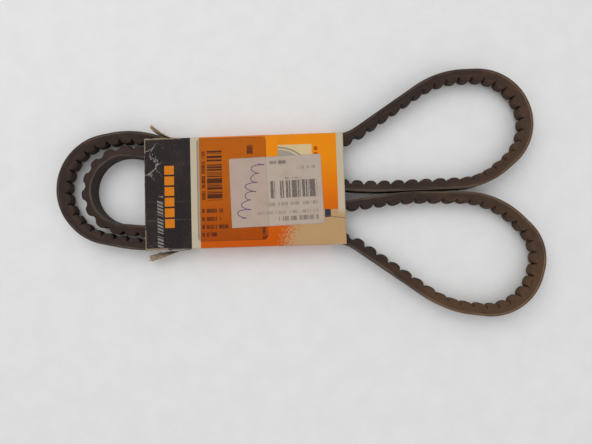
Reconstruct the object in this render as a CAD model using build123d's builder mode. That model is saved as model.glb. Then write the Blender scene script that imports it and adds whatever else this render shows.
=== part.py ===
"""Raw-edge cogged V belt, folded in three and held flat in a printed card sleeve.

Millimetres. +X runs along the sleeve towards the two open loops, +Y across it, +Z up from the
surface the pack lies on. The origin is the middle of the pack's footprint, on that surface.
The belt is endless and stands on its narrow side, so its back is an upright wall that follows
one closed line. That line is wrapped round a row of bends, each a circle, joined by tangents.
"""

import os
from dataclasses import dataclass
from math import atan2, cos, hypot, pi, radians, sin, sqrt, tan

from build123d import *

# ---- belt section, depths measured from the back -----------------------------------------------
BELT_LENGTH = 1525.0          # outside length, round the back
TOP_WIDTH = 13.0              # across the back
BELT_HEIGHT = 8.3             # from the back to the tips of the cogs
GROOVE_ANGLE = 40.0           # between the two side faces
BACK_FABRIC = 0.6             # rubbered cloth on the back
CORD_DEPTH = 2.0              # middle of the tension cords
CORD_DIAMETER = 1.0
CORD_SPACING = 1.25           # between turns of cord side by side across the belt
CORD_EDGE = 1.5               # outermost turn's middle from the edge of the back
CORD_FIT = 0.02               # gap between a cord and its groove
UNDERCORD_DEPTH = 2.7         # top of the compression rubber
# ---- cogs --------------------------------------------------------------------------------------
COG_PITCH = 9.9               # nominal, along the cords
COG_ROOT_DEPTH = 5.1          # bottom of a notch
COG_SHOULDER_DEPTH = 6.4      # where the round of a notch meets the flank of a cog
COG_WIDTH = 7.1               # at the shoulder
COG_FLAT = 2.2                # flat on the tip
CUT_OVER = 2.0                # how far a cutting shape passes the surface it cuts
# ---- card sleeve -------------------------------------------------------------------------------
CARD = 0.45                   # thickness of the card
SLEEVE_LENGTH = 142.0
SLEEVE_MIDDLE_X = -37.5
BELT_SIDE_GAP = 0.4           # belt's back to a side wall
BELT_UNDER_GAP = 0.15         # belt to the back panel
BELT_OVER_GAP = 0.35          # belt to the glue flap
GLUE = 0.05
GLUE_MARGIN = 2.0             # glue stops this far inside the edges of its flap
FLAP_WIDTH = 14.0
HINGE_GAP = 0.05              # across a crease
TEAR_THICKNESS = 0.4          # a torn strip of side wall, thinner where plies peeled off
TEAR_HEIGHT = 10.5
TEAR_LIFT = 1.6               # its lower edge above the back panel
# ---- labels on the front panel -----------------------------------------------------------------
FILM = 0.05                   # clear film label, thickness
FILM_LENGTH = 49.6
FILM_LEFT = 37.5              # its left edge, from the left mouth of the sleeve
FILM_MARGINS = (4.8, 1.3)     # below and above it
FILM_CORNER = 3.0
LABEL = 0.1                   # paper price label, thickness
LABEL_SIZE = (65.3, 49.4)
LABEL_MIDDLE = (93.65, 39.1)  # from the left mouth and the lower edge of the sleeve
LABEL_TURN = 1.4              # degrees
LABEL_CORNER = 0.8

# ---- bends of the belt's back, counter-clockwise from the left end -----------------------------
# x, y and radius of each circle; LEFT turns keep the cogs inside, RIGHT turns bend the belt back.
LEFT = 1
RIGHT = -1
BENDS = [
    (-132.0, 9.5, 40.0, LEFT),         # left end, lower half
    (-103.5, 79.5, 114.5, LEFT),
    (-74.5, -134.0, 100.0, RIGHT),     # on to the lower side wall
    (24.0, -62.0, 28.0, RIGHT),        # lower corner of the right mouth
    (128.0, -21.5, 66.0, LEFT),        # lower loop
    (133.5, -50.0, 38.5, LEFT),
    (138.5, -47.5, 34.5, LEFT),
    (115.5, -59.5, 59.5, LEFT),
    (86.0, -169.0, 170.0, LEFT),       # lower middle strand
    (-103.0, 28.5, 46.0, RIGHT),       # inner bend
    (-123.5, 9.0, 24.5, RIGHT),
    (-120.5, 6.0, 27.0, RIGHT),
    (62.0, 201.5, 200.0, LEFT),        # upper middle strand
    (116.0, 54.0, 52.0, LEFT),         # upper loop
    (130.5, 49.0, 39.0, LEFT),
    (122.5, 22.5, 65.5, LEFT),
    (27.5, 72.0, 28.0, RIGHT),         # upper corner of the right mouth
    (-83.0, 72.0, 28.0, RIGHT),        # off the upper side wall
    (-122.5, -20.5, 72.0, LEFT),       # left end, upper half
    (-133.5, 10.5, 39.5, LEFT),
]
LOWER_BULGE, LOWER_MOUTH, UPPER_MOUTH, UPPER_BULGE = 2, 3, 16, 17


@dataclass
class Leg:
    """An arc or a straight piece of the belt's back, with the heading it starts on."""

    x: float
    y: float
    heading: float
    length: float
    curvature: float       # 1 / radius, positive for a left turn, 0 when straight

    def at(self, s, depth=0.0):
        """Point a distance s along the leg and a depth inside the back."""
        turned = self.heading + s * self.curvature
        if self.curvature:
            radius = 1.0 / self.curvature
            x = self.x + radius * (sin(turned) - sin(self.heading))
            y = self.y - radius * (cos(turned) - cos(self.heading))
        else:
            x = self.x + s * cos(turned)
            y = self.y + s * sin(turned)
        return x - depth * sin(turned), y + depth * cos(turned), turned

    def span(self, depth):
        """Length of the leg at a depth."""
        return self.length * (1.0 - depth * self.curvature)


def tangent_normal(bend, other):
    """Left normal of the straight piece that leaves one bend and meets the next."""
    run_x, run_y = other[0] - bend[0], other[1] - bend[1]
    run = hypot(run_x, run_y)
    run_x, run_y = run_x / run, run_y / run
    lean = (other[2] * other[3] - bend[2] * bend[3]) / run
    rise = sqrt(1.0 - lean * lean)
    return run_x * lean - run_y * rise, run_y * lean + run_x * rise


def wrap(bends):
    """Legs of the closed line round the bends: an arc, then a straight piece, for each bend."""
    legs = []
    for i, (x, y, radius, side) in enumerate(bends):
        before, after = bends[i - 1], bends[(i + 1) % len(bends)]
        in_x, in_y = tangent_normal(before, bends[i])
        out_x, out_y = tangent_normal(bends[i], after)
        turn = (atan2(out_y, out_x) - atan2(in_y, in_x)) * side % (2 * pi) * side
        signed = radius * side
        start = (x - signed * in_x, y - signed * in_y)
        end = (x - signed * out_x, y - signed * out_y)
        meet = (after[0] - after[2] * after[3] * out_x, after[1] - after[2] * after[3] * out_y)
        legs.append(Leg(*start, atan2(-in_x, in_y), abs(turn) * radius, 1.0 / signed))
        gap = hypot(meet[0] - end[0], meet[1] - end[1])
        legs.append(Leg(*end, atan2(-out_x, out_y), gap, 0.0))
    return legs


# The drawn bends are scaled so that the line measures the belt's length, then centred.
drawn = sum(leg.length for leg in wrap(BENDS))
SCALE = BELT_LENGTH / drawn
bends = [(x * SCALE, y * SCALE, radius * SCALE, side) for x, y, radius, side in BENDS]
line_x = [leg.at(leg.length * k / 40)[0] for leg in wrap(bends) for k in range(41)]
line_y = [leg.at(leg.length * k / 40)[1] for leg in wrap(bends) for k in range(41)]
SHIFT_X = -(min(line_x) + max(line_x)) / 2
SHIFT_Y = -(min(line_y) + max(line_y)) / 2
bends = [(x + SHIFT_X, y + SHIFT_Y, radius, side) for x, y, radius, side in bends]
LEGS = wrap(bends)

BELT_Z = CARD + BELT_UNDER_GAP + TOP_WIDTH / 2       # middle of the belt's width
SLOPE = tan(radians(GROOVE_ANGLE / 2))


def at_depth(s, lead_depth, depth, forward=0.0):
    """Point at distance s along the lead depth, then moved forward and in by a rigid step."""
    for leg in LEGS:
        span = leg.span(lead_depth)
        if s <= span:
            break
        s -= span
    x, y, heading = leg.at(s * leg.length / span)
    return (
        x + forward * cos(heading) - depth * sin(heading),
        y + forward * sin(heading) + depth * cos(heading),
    )


def half_width(depth):
    """Half the belt's width at a depth."""
    return TOP_WIDTH / 2 - depth * SLOPE


def route(depth):
    """The closed line at a depth, at mid width, as edges joined end to end."""
    edges = []
    for leg in LEGS:
        if leg.length < 1e-6:
            continue
        ends = [leg.at(leg.length * k, depth)[:2] for k in (0, 0.5, 1)]
        if leg.curvature:
            edges.append(Edge.make_three_point_arc(*[(*end, BELT_Z) for end in ends]))
        else:
            edges.append(Edge.make_line((*ends[0], BELT_Z), (*ends[2], BELT_Z)))
    return Wire(edges)


def section_plane():
    """Upright plane across the belt where the line starts: x into the belt, y up."""
    leg = LEGS[0]
    x, y, heading = leg.at(0)
    return Plane(
        origin=(x, y, BELT_Z),
        x_dir=(-sin(heading), cos(heading), 0),
        z_dir=(cos(heading), sin(heading), 0),
    )


def layer_outline(top, bottom):
    """Side faces of a belt layer between two depths, as a closed outline."""
    return [
        (top, -half_width(top)),
        (bottom, -half_width(bottom)),
        (bottom, half_width(bottom)),
        (top, half_width(top)),
    ]


CORD_TURNS = 1 + int((TOP_WIDTH - 2 * CORD_EDGE) / CORD_SPACING)
CORD_HEIGHTS = [(turn - (CORD_TURNS - 1) / 2) * CORD_SPACING for turn in range(CORD_TURNS)]
GROOVE_RADIUS = CORD_DIAMETER / 2 + CORD_FIT

# ---- belt --------------------------------------------------------------------------------------
with BuildPart() as back_fabric:
    with BuildSketch(section_plane()):
        with BuildLine():
            Polyline(*layer_outline(0, BACK_FABRIC), close=True)
        make_face()
    sweep(path=route(0))

# The cushion above the cords and the adhesion rubber below them meet at the cords' middles. Each
# has half a groove for every turn.
with BuildPart() as cushion_rubber:
    with BuildSketch(section_plane()):
        with BuildLine():
            Polyline(*layer_outline(BACK_FABRIC, CORD_DEPTH), close=True)
        make_face()
        with Locations(*[(CORD_DEPTH, height) for height in CORD_HEIGHTS]):
            Circle(GROOVE_RADIUS, mode=Mode.SUBTRACT)
    sweep(path=route(0))

with BuildPart() as adhesion_rubber:
    with BuildSketch(section_plane()):
        with BuildLine():
            Polyline(*layer_outline(CORD_DEPTH, UNDERCORD_DEPTH), close=True)
        make_face()
        with Locations(*[(CORD_DEPTH, height) for height in CORD_HEIGHTS]):
            Circle(GROOVE_RADIUS, mode=Mode.SUBTRACT)
    sweep(path=route(0))


def cord(height):
    """One turn of the tension cord at a height across the belt."""
    with BuildPart() as turn:
        with BuildSketch(section_plane()):
            with Locations((CORD_DEPTH, height)):
                Circle(CORD_DIAMETER / 2)
        sweep(path=route(0))
    return turn


cords = [cord(height) for height in CORD_HEIGHTS]

# Cogs keep their shape on a bend; the notches between them close or open instead. Each notch is
# cut by a prism whose flanks stand in the frames of the two cogs beside it.
CORD_LINE = sum(leg.span(CORD_DEPTH) for leg in LEGS)
COGS = round(CORD_LINE / COG_PITCH)
PITCH = CORD_LINE / COGS
ROUND = 1 - cos(radians(45))


def flank(cog, side):
    """Points down the flank of a cog: past its tip, tip, round, shoulder."""
    station = (cog % COGS + 0.5) * PITCH
    half_tip, half_cog = COG_FLAT / 2, COG_WIDTH / 2
    round_width = ROUND * (half_cog - half_tip)
    round_height = ROUND * (BELT_HEIGHT - COG_SHOULDER_DEPTH)
    steps = [
        (half_tip, BELT_HEIGHT + CUT_OVER),
        (half_tip, BELT_HEIGHT),
        (half_cog - round_width, BELT_HEIGHT - round_height),
        (half_cog, COG_SHOULDER_DEPTH),
    ]
    return [at_depth(station, CORD_DEPTH, depth, side * step) for step, depth in steps]


def notch(cog):
    """Face of the notch after a cog, below the belt, facing up."""
    below = BELT_Z - TOP_WIDTH
    past, tip, corner, shoulder = [(*point, below) for point in flank(cog, 1)]
    far_past, far_tip, far_corner, far_shoulder = [(*point, below) for point in flank(cog + 1, -1)]
    root = (*at_depth((cog + 1) % COGS * PITCH, CORD_DEPTH, COG_ROOT_DEPTH), below)
    edges = [
        Edge.make_line(far_past, past),
        Edge.make_line(past, tip),
        Edge.make_three_point_arc(tip, corner, shoulder),
        Edge.make_three_point_arc(shoulder, root, far_shoulder),
        Edge.make_three_point_arc(far_shoulder, far_corner, far_tip),
        Edge.make_line(far_tip, far_past),
    ]
    return Face(Wire(edges))


with BuildPart() as compression_rubber:
    with BuildSketch(section_plane()):
        with BuildLine():
            Polyline(*layer_outline(UNDERCORD_DEPTH, BELT_HEIGHT), close=True)
        make_face()
    sweep(path=route(0))
    notches = [notch(cog) for cog in range(COGS)]
    extrude(notches, amount=2 * TOP_WIDTH, dir=(0, 0, 1), mode=Mode.SUBTRACT)

# ---- sleeve ------------------------------------------------------------------------------------
# The side walls run where the belt's outer strands run straight, and end where those bend away.
LOW_STRAND = bends[LOWER_MOUTH][1] + bends[LOWER_MOUTH][2]
HIGH_STRAND = bends[UPPER_MOUTH][1] - bends[UPPER_MOUTH][2]
LOW_EDGE = LOW_STRAND - BELT_SIDE_GAP - CARD
HIGH_EDGE = HIGH_STRAND + BELT_SIDE_GAP + CARD
LEFT_MOUTH = SLEEVE_MIDDLE_X - SLEEVE_LENGTH / 2
RIGHT_MOUTH = SLEEVE_MIDDLE_X + SLEEVE_LENGTH / 2
LOW_TEAR = bends[LOWER_BULGE][0]
HIGH_TEAR = bends[UPPER_BULGE][0]
LOW_WALL_END = min(bends[LOWER_MOUTH][0], RIGHT_MOUTH)
HIGH_WALL_END = min(bends[UPPER_MOUTH][0], RIGHT_MOUTH)
FRONT_UNDER = CARD + BELT_UNDER_GAP + TOP_WIDTH + BELT_OVER_GAP + CARD + GLUE
FRONT_TOP = FRONT_UNDER + CARD
BEGIN = (Align.MIN, Align.MIN)


def plate(left, low, right, high, bottom, top):
    """Flat piece between two corners and two heights."""
    with BuildPart() as piece:
        with BuildSketch(Plane.XY.offset(bottom)):
            with Locations((left, low)):
                Rectangle(right - left, high - low, align=BEGIN)
        extrude(amount=top - bottom)
    return piece


back_panel = plate(LEFT_MOUTH, LOW_EDGE, RIGHT_MOUTH, HIGH_EDGE, 0, CARD)
front_panel = plate(LEFT_MOUTH, LOW_EDGE, RIGHT_MOUTH, HIGH_EDGE, FRONT_UNDER, FRONT_TOP)
lower_wall = plate(LOW_TEAR, LOW_EDGE, LOW_WALL_END, LOW_EDGE + CARD, CARD, FRONT_UNDER)
upper_wall = plate(HIGH_TEAR, HIGH_EDGE - CARD, HIGH_WALL_END, HIGH_EDGE, CARD, FRONT_UNDER)

# The lower wall's own flap folds in under the front panel, and a line of glue holds the two.
FLAP_LOW = LOW_EDGE + CARD
FLAP_TOP = FRONT_UNDER - GLUE
glue_flap = plate(
    LOW_TEAR, FLAP_LOW, LOW_WALL_END, FLAP_LOW + FLAP_WIDTH, FLAP_TOP - CARD, FLAP_TOP
)
glue_line = plate(
    LOW_TEAR + GLUE_MARGIN,
    FLAP_LOW + GLUE_MARGIN,
    LOW_WALL_END - GLUE_MARGIN,
    FLAP_LOW + FLAP_WIDTH - GLUE_MARGIN,
    FLAP_TOP,
    FRONT_UNDER,
)

# A clear film and, partly over it, a paper label. The label bends down off the film's edge.
FILM_LOW = LOW_EDGE + FILM_MARGINS[0]
FILM_HIGH = HIGH_EDGE - FILM_MARGINS[1]
FILM_MIDDLE = (LEFT_MOUTH + FILM_LEFT + FILM_LENGTH / 2, (FILM_LOW + FILM_HIGH) / 2)

with BuildPart() as film_label:
    with BuildSketch(Plane.XY.offset(FRONT_TOP)):
        with Locations(FILM_MIDDLE):
            RectangleRounded(FILM_LENGTH, FILM_HIGH - FILM_LOW, FILM_CORNER)
    extrude(amount=FILM)

with BuildPart() as price_label:
    with BuildSketch(Plane.XY.offset(FRONT_TOP)):
        with Locations(Location((LEFT_MOUTH + LABEL_MIDDLE[0], LOW_EDGE + LABEL_MIDDLE[1]), LABEL_TURN)):
            RectangleRounded(*LABEL_SIZE, LABEL_CORNER)
    extrude(amount=FILM + LABEL)
    with BuildSketch(Plane.XY.offset(FRONT_TOP)):
        with Locations(FILM_MIDDLE):
            RectangleRounded(FILM_LENGTH, FILM_HIGH - FILM_LOW, FILM_CORNER)
    extrude(amount=FILM, mode=Mode.SUBTRACT)
    with BuildSketch(Plane.XY.offset(FRONT_TOP + LABEL)):
        with Locations((FILM_MIDDLE[0] + FILM_LENGTH / 2, LOW_EDGE)):
            Rectangle(SLEEVE_LENGTH, HIGH_EDGE - LOW_EDGE, align=BEGIN)
    extrude(amount=FILM, mode=Mode.SUBTRACT)


# ---- torn strips -------------------------------------------------------------------------------
# At the left mouth the belt has burst the side walls. Each torn piece of wall stays on by the
# crease at its root, where it hinges, and curls away from the belt.
HIGH_CURL = [(-17.2, 5.8), (-21.1, 10.8)]     # middle and tip of the strip, from its root
LOW_CURL = [(-20.2, -3.6), (-31.3, -6.0)]
STRIP_LOW = CARD + TEAR_LIFT


def torn_strip(root, outward, curl):
    """Strip of card standing on edge, curled along an arc from its root through two points."""
    near, tip = [(root[0] + x, root[1] + y) for x, y in curl]
    with BuildPart() as piece:
        with BuildSketch(Plane.XY.offset(STRIP_LOW)):
            with BuildLine() as line:
                Spline(root, near, tip, tangents=((-1, outward * 0.1), (-0.5, outward)))
            trace(line.wires()[0], line_width=TEAR_THICKNESS)
        extrude(amount=TEAR_HEIGHT)
    return piece


half_strip = TEAR_THICKNESS / 2
high_root = (HIGH_TEAR - HINGE_GAP, HIGH_EDGE - half_strip)
low_root = (LOW_TEAR - HINGE_GAP, LOW_EDGE + half_strip)
upper_torn_strip = torn_strip(high_root, 1, HIGH_CURL)
lower_torn_strip = torn_strip(low_root, -1, LOW_CURL)

# ---- named pieces ------------------------------------------------------------------------------
PIECES = {
    "back_fabric": back_fabric,
    "cushion_rubber": cushion_rubber,
    "adhesion_rubber": adhesion_rubber,
    "compression_rubber": compression_rubber,
    "back_panel": back_panel,
    "front_panel": front_panel,
    "lower_wall": lower_wall,
    "upper_wall": upper_wall,
    "glue_flap": glue_flap,
    "glue_line": glue_line,
    "film_label": film_label,
    "price_label": price_label,
    "upper_torn_strip": upper_torn_strip,
    "lower_torn_strip": lower_torn_strip,
}
for number, turn in enumerate(cords, start=1):
    PIECES[f"tension_cord_{number:02d}"] = turn

os.makedirs("parts", exist_ok=True)
for name, piece in PIECES.items():
    piece.part.label = name
    export_step(piece.part, f"parts/{name}.step")
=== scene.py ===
# %% [markdown]
# # A V belt in its card sleeve
# The belt is one endless ring of rubber. It stands on its narrow side, folded so that four of its
# strands run side by side through a printed card sleeve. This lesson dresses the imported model:
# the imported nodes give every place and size, and each step makes one piece or one finish.

# %% Frame
import math

import bmesh
import bpy
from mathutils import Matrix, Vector, noise


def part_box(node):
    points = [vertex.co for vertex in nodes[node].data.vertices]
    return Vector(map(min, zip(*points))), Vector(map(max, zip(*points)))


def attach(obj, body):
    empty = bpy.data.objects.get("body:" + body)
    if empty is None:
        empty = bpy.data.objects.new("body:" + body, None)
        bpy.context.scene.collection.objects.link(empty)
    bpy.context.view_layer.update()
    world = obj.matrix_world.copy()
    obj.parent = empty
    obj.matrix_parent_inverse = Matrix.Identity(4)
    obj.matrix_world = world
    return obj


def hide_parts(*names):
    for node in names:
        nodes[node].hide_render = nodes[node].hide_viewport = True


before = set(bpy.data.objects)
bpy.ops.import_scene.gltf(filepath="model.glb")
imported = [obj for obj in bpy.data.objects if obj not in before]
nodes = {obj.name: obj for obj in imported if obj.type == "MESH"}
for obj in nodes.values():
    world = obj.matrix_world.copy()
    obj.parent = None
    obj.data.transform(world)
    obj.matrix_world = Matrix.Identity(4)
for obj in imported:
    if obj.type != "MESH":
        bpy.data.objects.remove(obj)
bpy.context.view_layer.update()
MM = 0.001
METRE = 1000.0  # in millimetres

# %% [markdown]
# ## Sizes
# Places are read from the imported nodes' boxes, so a change in the CAD model moves the dressing
# with it. Only what the boxes can't tell, such as the shape of a cog, is written here.

# %% Sizes read from the frame
front_low, front_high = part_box("front_panel")
back_low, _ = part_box("back_panel")
fabric_low, fabric_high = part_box("back_fabric")
upper_wall_low, upper_wall_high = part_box("upper_wall")
lower_wall_low, lower_wall_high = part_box("lower_wall")

LEFT_MOUTH, RIGHT_MOUTH = front_low.x, front_high.x
LOW_EDGE, HIGH_EDGE = front_low.y, front_high.y
FRONT_TOP = front_high.z
CARD = front_high.z - front_low.z
BELT_MIDDLE = (fabric_low.z + fabric_high.z) / 2
TOP_WIDTH = fabric_high.z - fabric_low.z
BELT_HEIGHT = 8.3 * MM
GROOVE_SLOPE = math.tan(math.radians(20))
CORD_DEPTH = 2.0 * MM
COG_PITCH = 9.9 * MM
COG_ROOT = 5.2 * MM
COG_SHOULDER = 5.9 * MM
COG_WIDTH = 7.7 * MM
COG_FLAT = 0.8 * MM
print("belt width", round(TOP_WIDTH / MM, 2), "mm, card", round(CARD / MM, 2), "mm")

# %% [markdown]
# ## Shader maths
# A finish is easier to read as arithmetic than as a web of nodes. `Value` wraps one socket and
# overloads the operators, so an expression adds its Math nodes. `Finish` is one material; its
# `node` method adds any other node, with settings first and then values or links.


# %% Value and Finish
def adds_node(operation):
    """A method that adds one Math node."""

    def method(self, *others):
        return self.math(operation, *others)

    return method


class Value:
    """A number that varies over a surface."""

    def __init__(self, finish, socket):
        self.finish = finish
        self.socket = socket

    def math(self, operation, *others, clamp=False):
        node = self.finish.tree.nodes.new("ShaderNodeMath")
        node.operation = operation
        node.use_clamp = clamp
        for slot, value in zip(node.inputs, (self, *others)):
            self.finish.plug(slot, value)
        return Value(self.finish, node.outputs[0])

    __add__ = __radd__ = adds_node("ADD")
    __sub__ = adds_node("SUBTRACT")
    __mul__ = __rmul__ = adds_node("MULTIPLY")
    __mod__ = adds_node("FLOORED_MODULO")
    above, below = adds_node("GREATER_THAN"), adds_node("LESS_THAN")
    most, least = adds_node("MAXIMUM"), adds_node("MINIMUM")
    floor, sin, abs = adds_node("FLOOR"), adds_node("SINE"), adds_node("ABSOLUTE")

    def __rsub__(self, other):
        return (self * -1.0) + other

    def clamp(self):
        return self.math("ADD", 0.0, clamp=True)

    def ramp(self, low, high):
        """0 below low, 1 above high, smooth between; low may be the larger."""
        node = self.finish.tree.nodes.new("ShaderNodeMapRange")
        node.interpolation_type = "SMOOTHSTEP"
        self.finish.plug(node.inputs["Value"], self)
        ends = (low, high, 0.0, 1.0) if low < high else (high, low, 1.0, 0.0)
        for name, value in zip(("From Min", "From Max", "To Min", "To Max"), ends):
            node.inputs[name].default_value = value
        return Value(self.finish, node.outputs[0])


class Finish:
    """A material, with its Principled shader ready."""

    def __init__(self, name):
        self.material = bpy.data.materials.new(name)
        self.material.use_nodes = True
        self.tree = self.material.node_tree
        self.shader = self.tree.nodes["Principled BSDF"]

    def plug(self, slot, value):
        if isinstance(value, Value):
            self.tree.links.new(value.socket, slot)
        elif isinstance(value, bpy.types.NodeSocket):
            self.tree.links.new(value, slot)
        elif slot.type == "RGBA" and len(value) == 3:
            slot.default_value = (*value, 1.0)
        else:
            slot.default_value = value

    def node(self, kind, settings=None, output=0, **values):
        """Any other node. Keys are socket names, with _ for a space."""
        node = self.tree.nodes.new(kind)
        for key, value in (settings or {}).items():
            setattr(node, key, value)
        for key, value in values.items():
            self.plug(node.inputs[key.replace("_", " ")], value)
        return Value(self, node.outputs[output])

    def axes(self, letters="XYZ"):
        """The object coordinates X, Y and Z, or only those named, in millimetres."""
        split = self.tree.nodes.new("ShaderNodeSeparateXYZ")
        self.plug(split.inputs[0], self.node("ShaderNodeTexCoord", output="Object"))
        return [Value(self, split.outputs[letter]) * METRE for letter in letters]

    def attribute(self, name):
        return self.node("ShaderNodeAttribute", {"attribute_name": name}, output="Fac")

    def point(self, x, y, z):
        return self.node("ShaderNodeCombineXYZ", X=x, Y=y, Z=z)

    def noise(self, at, scale, detail=3.0, rough=0.55):
        values = {"Vector": at, "Scale": scale, "Detail": detail, "Roughness": rough}
        return self.node("ShaderNodeTexNoise", **values)

    def chance(self, number):
        """A random number from 0 to 1 for each whole number."""
        return self.node("ShaderNodeTexWhiteNoise", {"noise_dimensions": "1D"}, W=number)

    def mix(self, amount, first, second):
        node = self.tree.nodes.new("ShaderNodeMix")
        node.data_type = "RGBA"
        for slot, value in ((0, amount), (6, first), (7, second)):
            self.plug(node.inputs[slot], value)
        return Value(self, node.outputs[2])

    def finish(self, colour, rough, bump=None, strength=0.3, distance=0.2, shine=None):
        """Links what varies; bump is a height, distance is in millimetres, shine is a constant."""
        self.plug(self.shader.inputs["Base Color"], colour)
        self.plug(self.shader.inputs["Roughness"], rough)
        if bump is not None:
            depth = distance * MM
            made = self.node("ShaderNodeBump", Height=bump, Strength=strength, Distance=depth)
            self.plug(self.shader.inputs["Normal"], made)
        if shine is not None:
            self.shader.inputs["Specular IOR Level"].default_value = shine
        return self.material


print("shader maths ready")

# %% [markdown]
# ## Objects
# A few short helpers do what every piece needs: put it in the scene, read back what its
# modifiers make, tidy a sheet that was built face by face, and give a sheet its thickness.


# %% Object helpers
def put(name, data):
    """A new object in the scene."""
    made = bpy.data.objects.new(name, data)
    bpy.context.collection.objects.link(made)
    return made


def evaluated_mesh(made):
    """What an object looks like with its modifiers or its bevel, as a mesh."""
    bpy.context.view_layer.update()
    seen = made.evaluated_get(bpy.context.evaluated_depsgraph_get())
    return bpy.data.meshes.new_from_object(seen)


def settle(shape):
    """Drops the points that no face uses and turns the faces the same way round."""
    spare = [v for v in shape.verts if not v.link_faces]
    bmesh.ops.delete(shape, geom=spare, context="VERTS")
    bmesh.ops.recalc_face_normals(shape, faces=shape.faces)


def put_sheet(name, shape, thickness, offset):
    """A bmesh sheet as an object, with a live thickness."""
    mesh = bpy.data.meshes.new(name)
    shape.to_mesh(mesh)
    shape.free()
    made = put(name, mesh)
    thick = made.modifiers.new("card", "SOLIDIFY")
    thick.thickness = thickness
    thick.offset = offset
    return made


print("object helpers ready")

# %% [markdown]
# ## Floor, light and camera
# A plain pale floor and two broad soft lights keep the shadows faint. The camera hangs over the
# sleeve and looks almost straight down, so the belt's side faces show and its back hardly does.

# %% Floor
FLOOR_SIZE = 4.0


def pale_floor():
    """A flat floor with the faintest plaster texture."""
    floor = Finish("pale_floor")
    where = floor.node("ShaderNodeTexCoord", output="Object")
    grain = floor.noise(where, 60.0, 6.0, 0.6)
    tint = floor.mix(grain.ramp(0.3, 0.7), (0.80, 0.80, 0.80), (0.83, 0.83, 0.83))
    floor.finish(tint, 0.9, floor.noise(where, 180.0, 5.0, 0.6), strength=0.25, distance=1.2)
    mesh = bpy.data.meshes.new("floor")
    half = FLOOR_SIZE / 2
    corners = [(-half, -half, 0), (half, -half, 0), (half, half, 0), (-half, half, 0)]
    mesh.from_pydata(corners, [], [(0, 1, 2, 3)])
    mesh.materials.append(floor.material)
    return put("floor", mesh)


floor = pale_floor()
print("floor laid")


# %% Light
def soft_light(name, place, size, power):
    """An area light that faces the origin."""
    lamp = bpy.data.lights.new(name, "AREA")
    lamp.size = size
    lamp.energy = power
    made = put(name, lamp)
    made.location = place
    made.rotation_euler = (-Vector(place)).to_track_quat("-Z", "Y").to_euler()


soft_light("key", (-0.45, 0.6, 1.0), 1.0, 5.2)
soft_light("fill", (0.7, -0.6, 0.9), 1.2, 2.4)
world = bpy.data.worlds.new("studio")
bpy.context.scene.world = world
world.use_nodes = True
background = world.node_tree.nodes["Background"].inputs
background["Color"].default_value = (1.0, 1.0, 1.0, 1.0)
background["Strength"].default_value = 0.60
bpy.context.scene.view_settings.view_transform = "Standard"
print("lights set")

# %% Camera
EYE = Vector((2.75, -34.29, 328.0)) * MM
LEAN, ROLL, TURN = 2.96, 0.90, -1.78
camera_data = bpy.data.cameras.new("camera")
camera_data.sensor_width = 36.0
camera_data.lens = 27.06
camera_data.clip_start = 0.01
camera = put("camera", camera_data)
camera.location = EYE
camera.rotation_euler = (math.radians(LEAN), math.radians(ROLL), math.radians(TURN))
bpy.context.scene.camera = camera
print("camera at", [round(v, 3) for v in EYE])

# %% [markdown]
# ## The line of the belt
# The belt's back is an upright wall, and its upper edge is the line that everything on the belt
# follows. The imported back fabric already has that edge, so its highest corners are walked in
# order round the ring. Long straight gaps get extra points, so a smooth curve through all of
# them stays straight there.

# %% Line of the belt
STRAIGHT_STEP = 4.0 * MM


def belt_line(node):
    """The back's upper edge as points in order, counter-clockwise seen from above."""
    edges = bmesh.new()
    edges.from_mesh(node.data)
    bmesh.ops.remove_doubles(edges, verts=edges.verts, dist=0.002 * MM)
    top = fabric_high.z - 0.01 * MM
    rim = {v: [] for v in edges.verts if v.co.z > top}
    for edge in edges.edges:
        a, b = edge.verts
        if a in rim and b in rim:
            rim[a].append(b)
            rim[b].append(a)
    start = next(iter(rim))
    walked, last, here = [start], None, start
    while True:
        step = [v for v in rim[here] if v is not last and v not in walked[1:]]
        step = [v for v in step if v is not start or len(walked) > 2]
        if not step or step[0] is start:
            break
        last, here = here, step[0]
        walked.append(here)
    points = [v.co.to_2d() for v in walked]
    edges.free()
    area = sum(a.cross(b) for a, b in zip(points, points[1:] + points[:1]))
    if area < 0:
        points.reverse()
    filled = []
    for a, b in zip(points, points[1:] + points[:1]):
        gap = (b - a).length
        parts = round(gap / STRAIGHT_STEP) if gap > 2 * STRAIGHT_STEP else 1
        filled += [a.lerp(b, k / parts) for k in range(parts)]
    return filled


line_points = belt_line(nodes["back_fabric"])
line_mesh = bpy.data.meshes.new("line")
links = [(i, (i + 1) % len(line_points)) for i in range(len(line_points))]
line_mesh.from_pydata([(p.x, p.y, 0.0) for p in line_points], links, [])
line = put("line", line_mesh)
LINE_LENGTH = sum((a - b).length for a, b in zip(line_points, line_points[1:] + line_points[:1]))
COGS = round((LINE_LENGTH - 2 * math.pi * CORD_DEPTH) / COG_PITCH)
PITCH = LINE_LENGTH / COGS
print(len(line_points), "points,", round(LINE_LENGTH / MM, 1), "mm long,", COGS, "cogs")

# %% [markdown]
# ## One cog
# A moulded belt repeats the same short length of section, so one pitch is modelled straight: half
# a notch, a cog and half a notch. Every point knows how far along, how deep and how far across
# it lies, and how stiff it is: cogs are thick and keep their shape on a bend, while the thin
# rubber at the notches does the bending.

# %% One pitch of belt
ROUND_STEPS = 5
SIDE_DEPTHS = [0.22, 0.7, 1.2, 1.7, 2.7, 3.9, 5.0]
BACK_STEPS = 4
EDGE_ROUND = 0.22 * MM


def smooth(low, high, value):
    t = min(1.0, max(0.0, (value - low) / (high - low)))
    return t * t * (3 - 2 * t)


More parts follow.
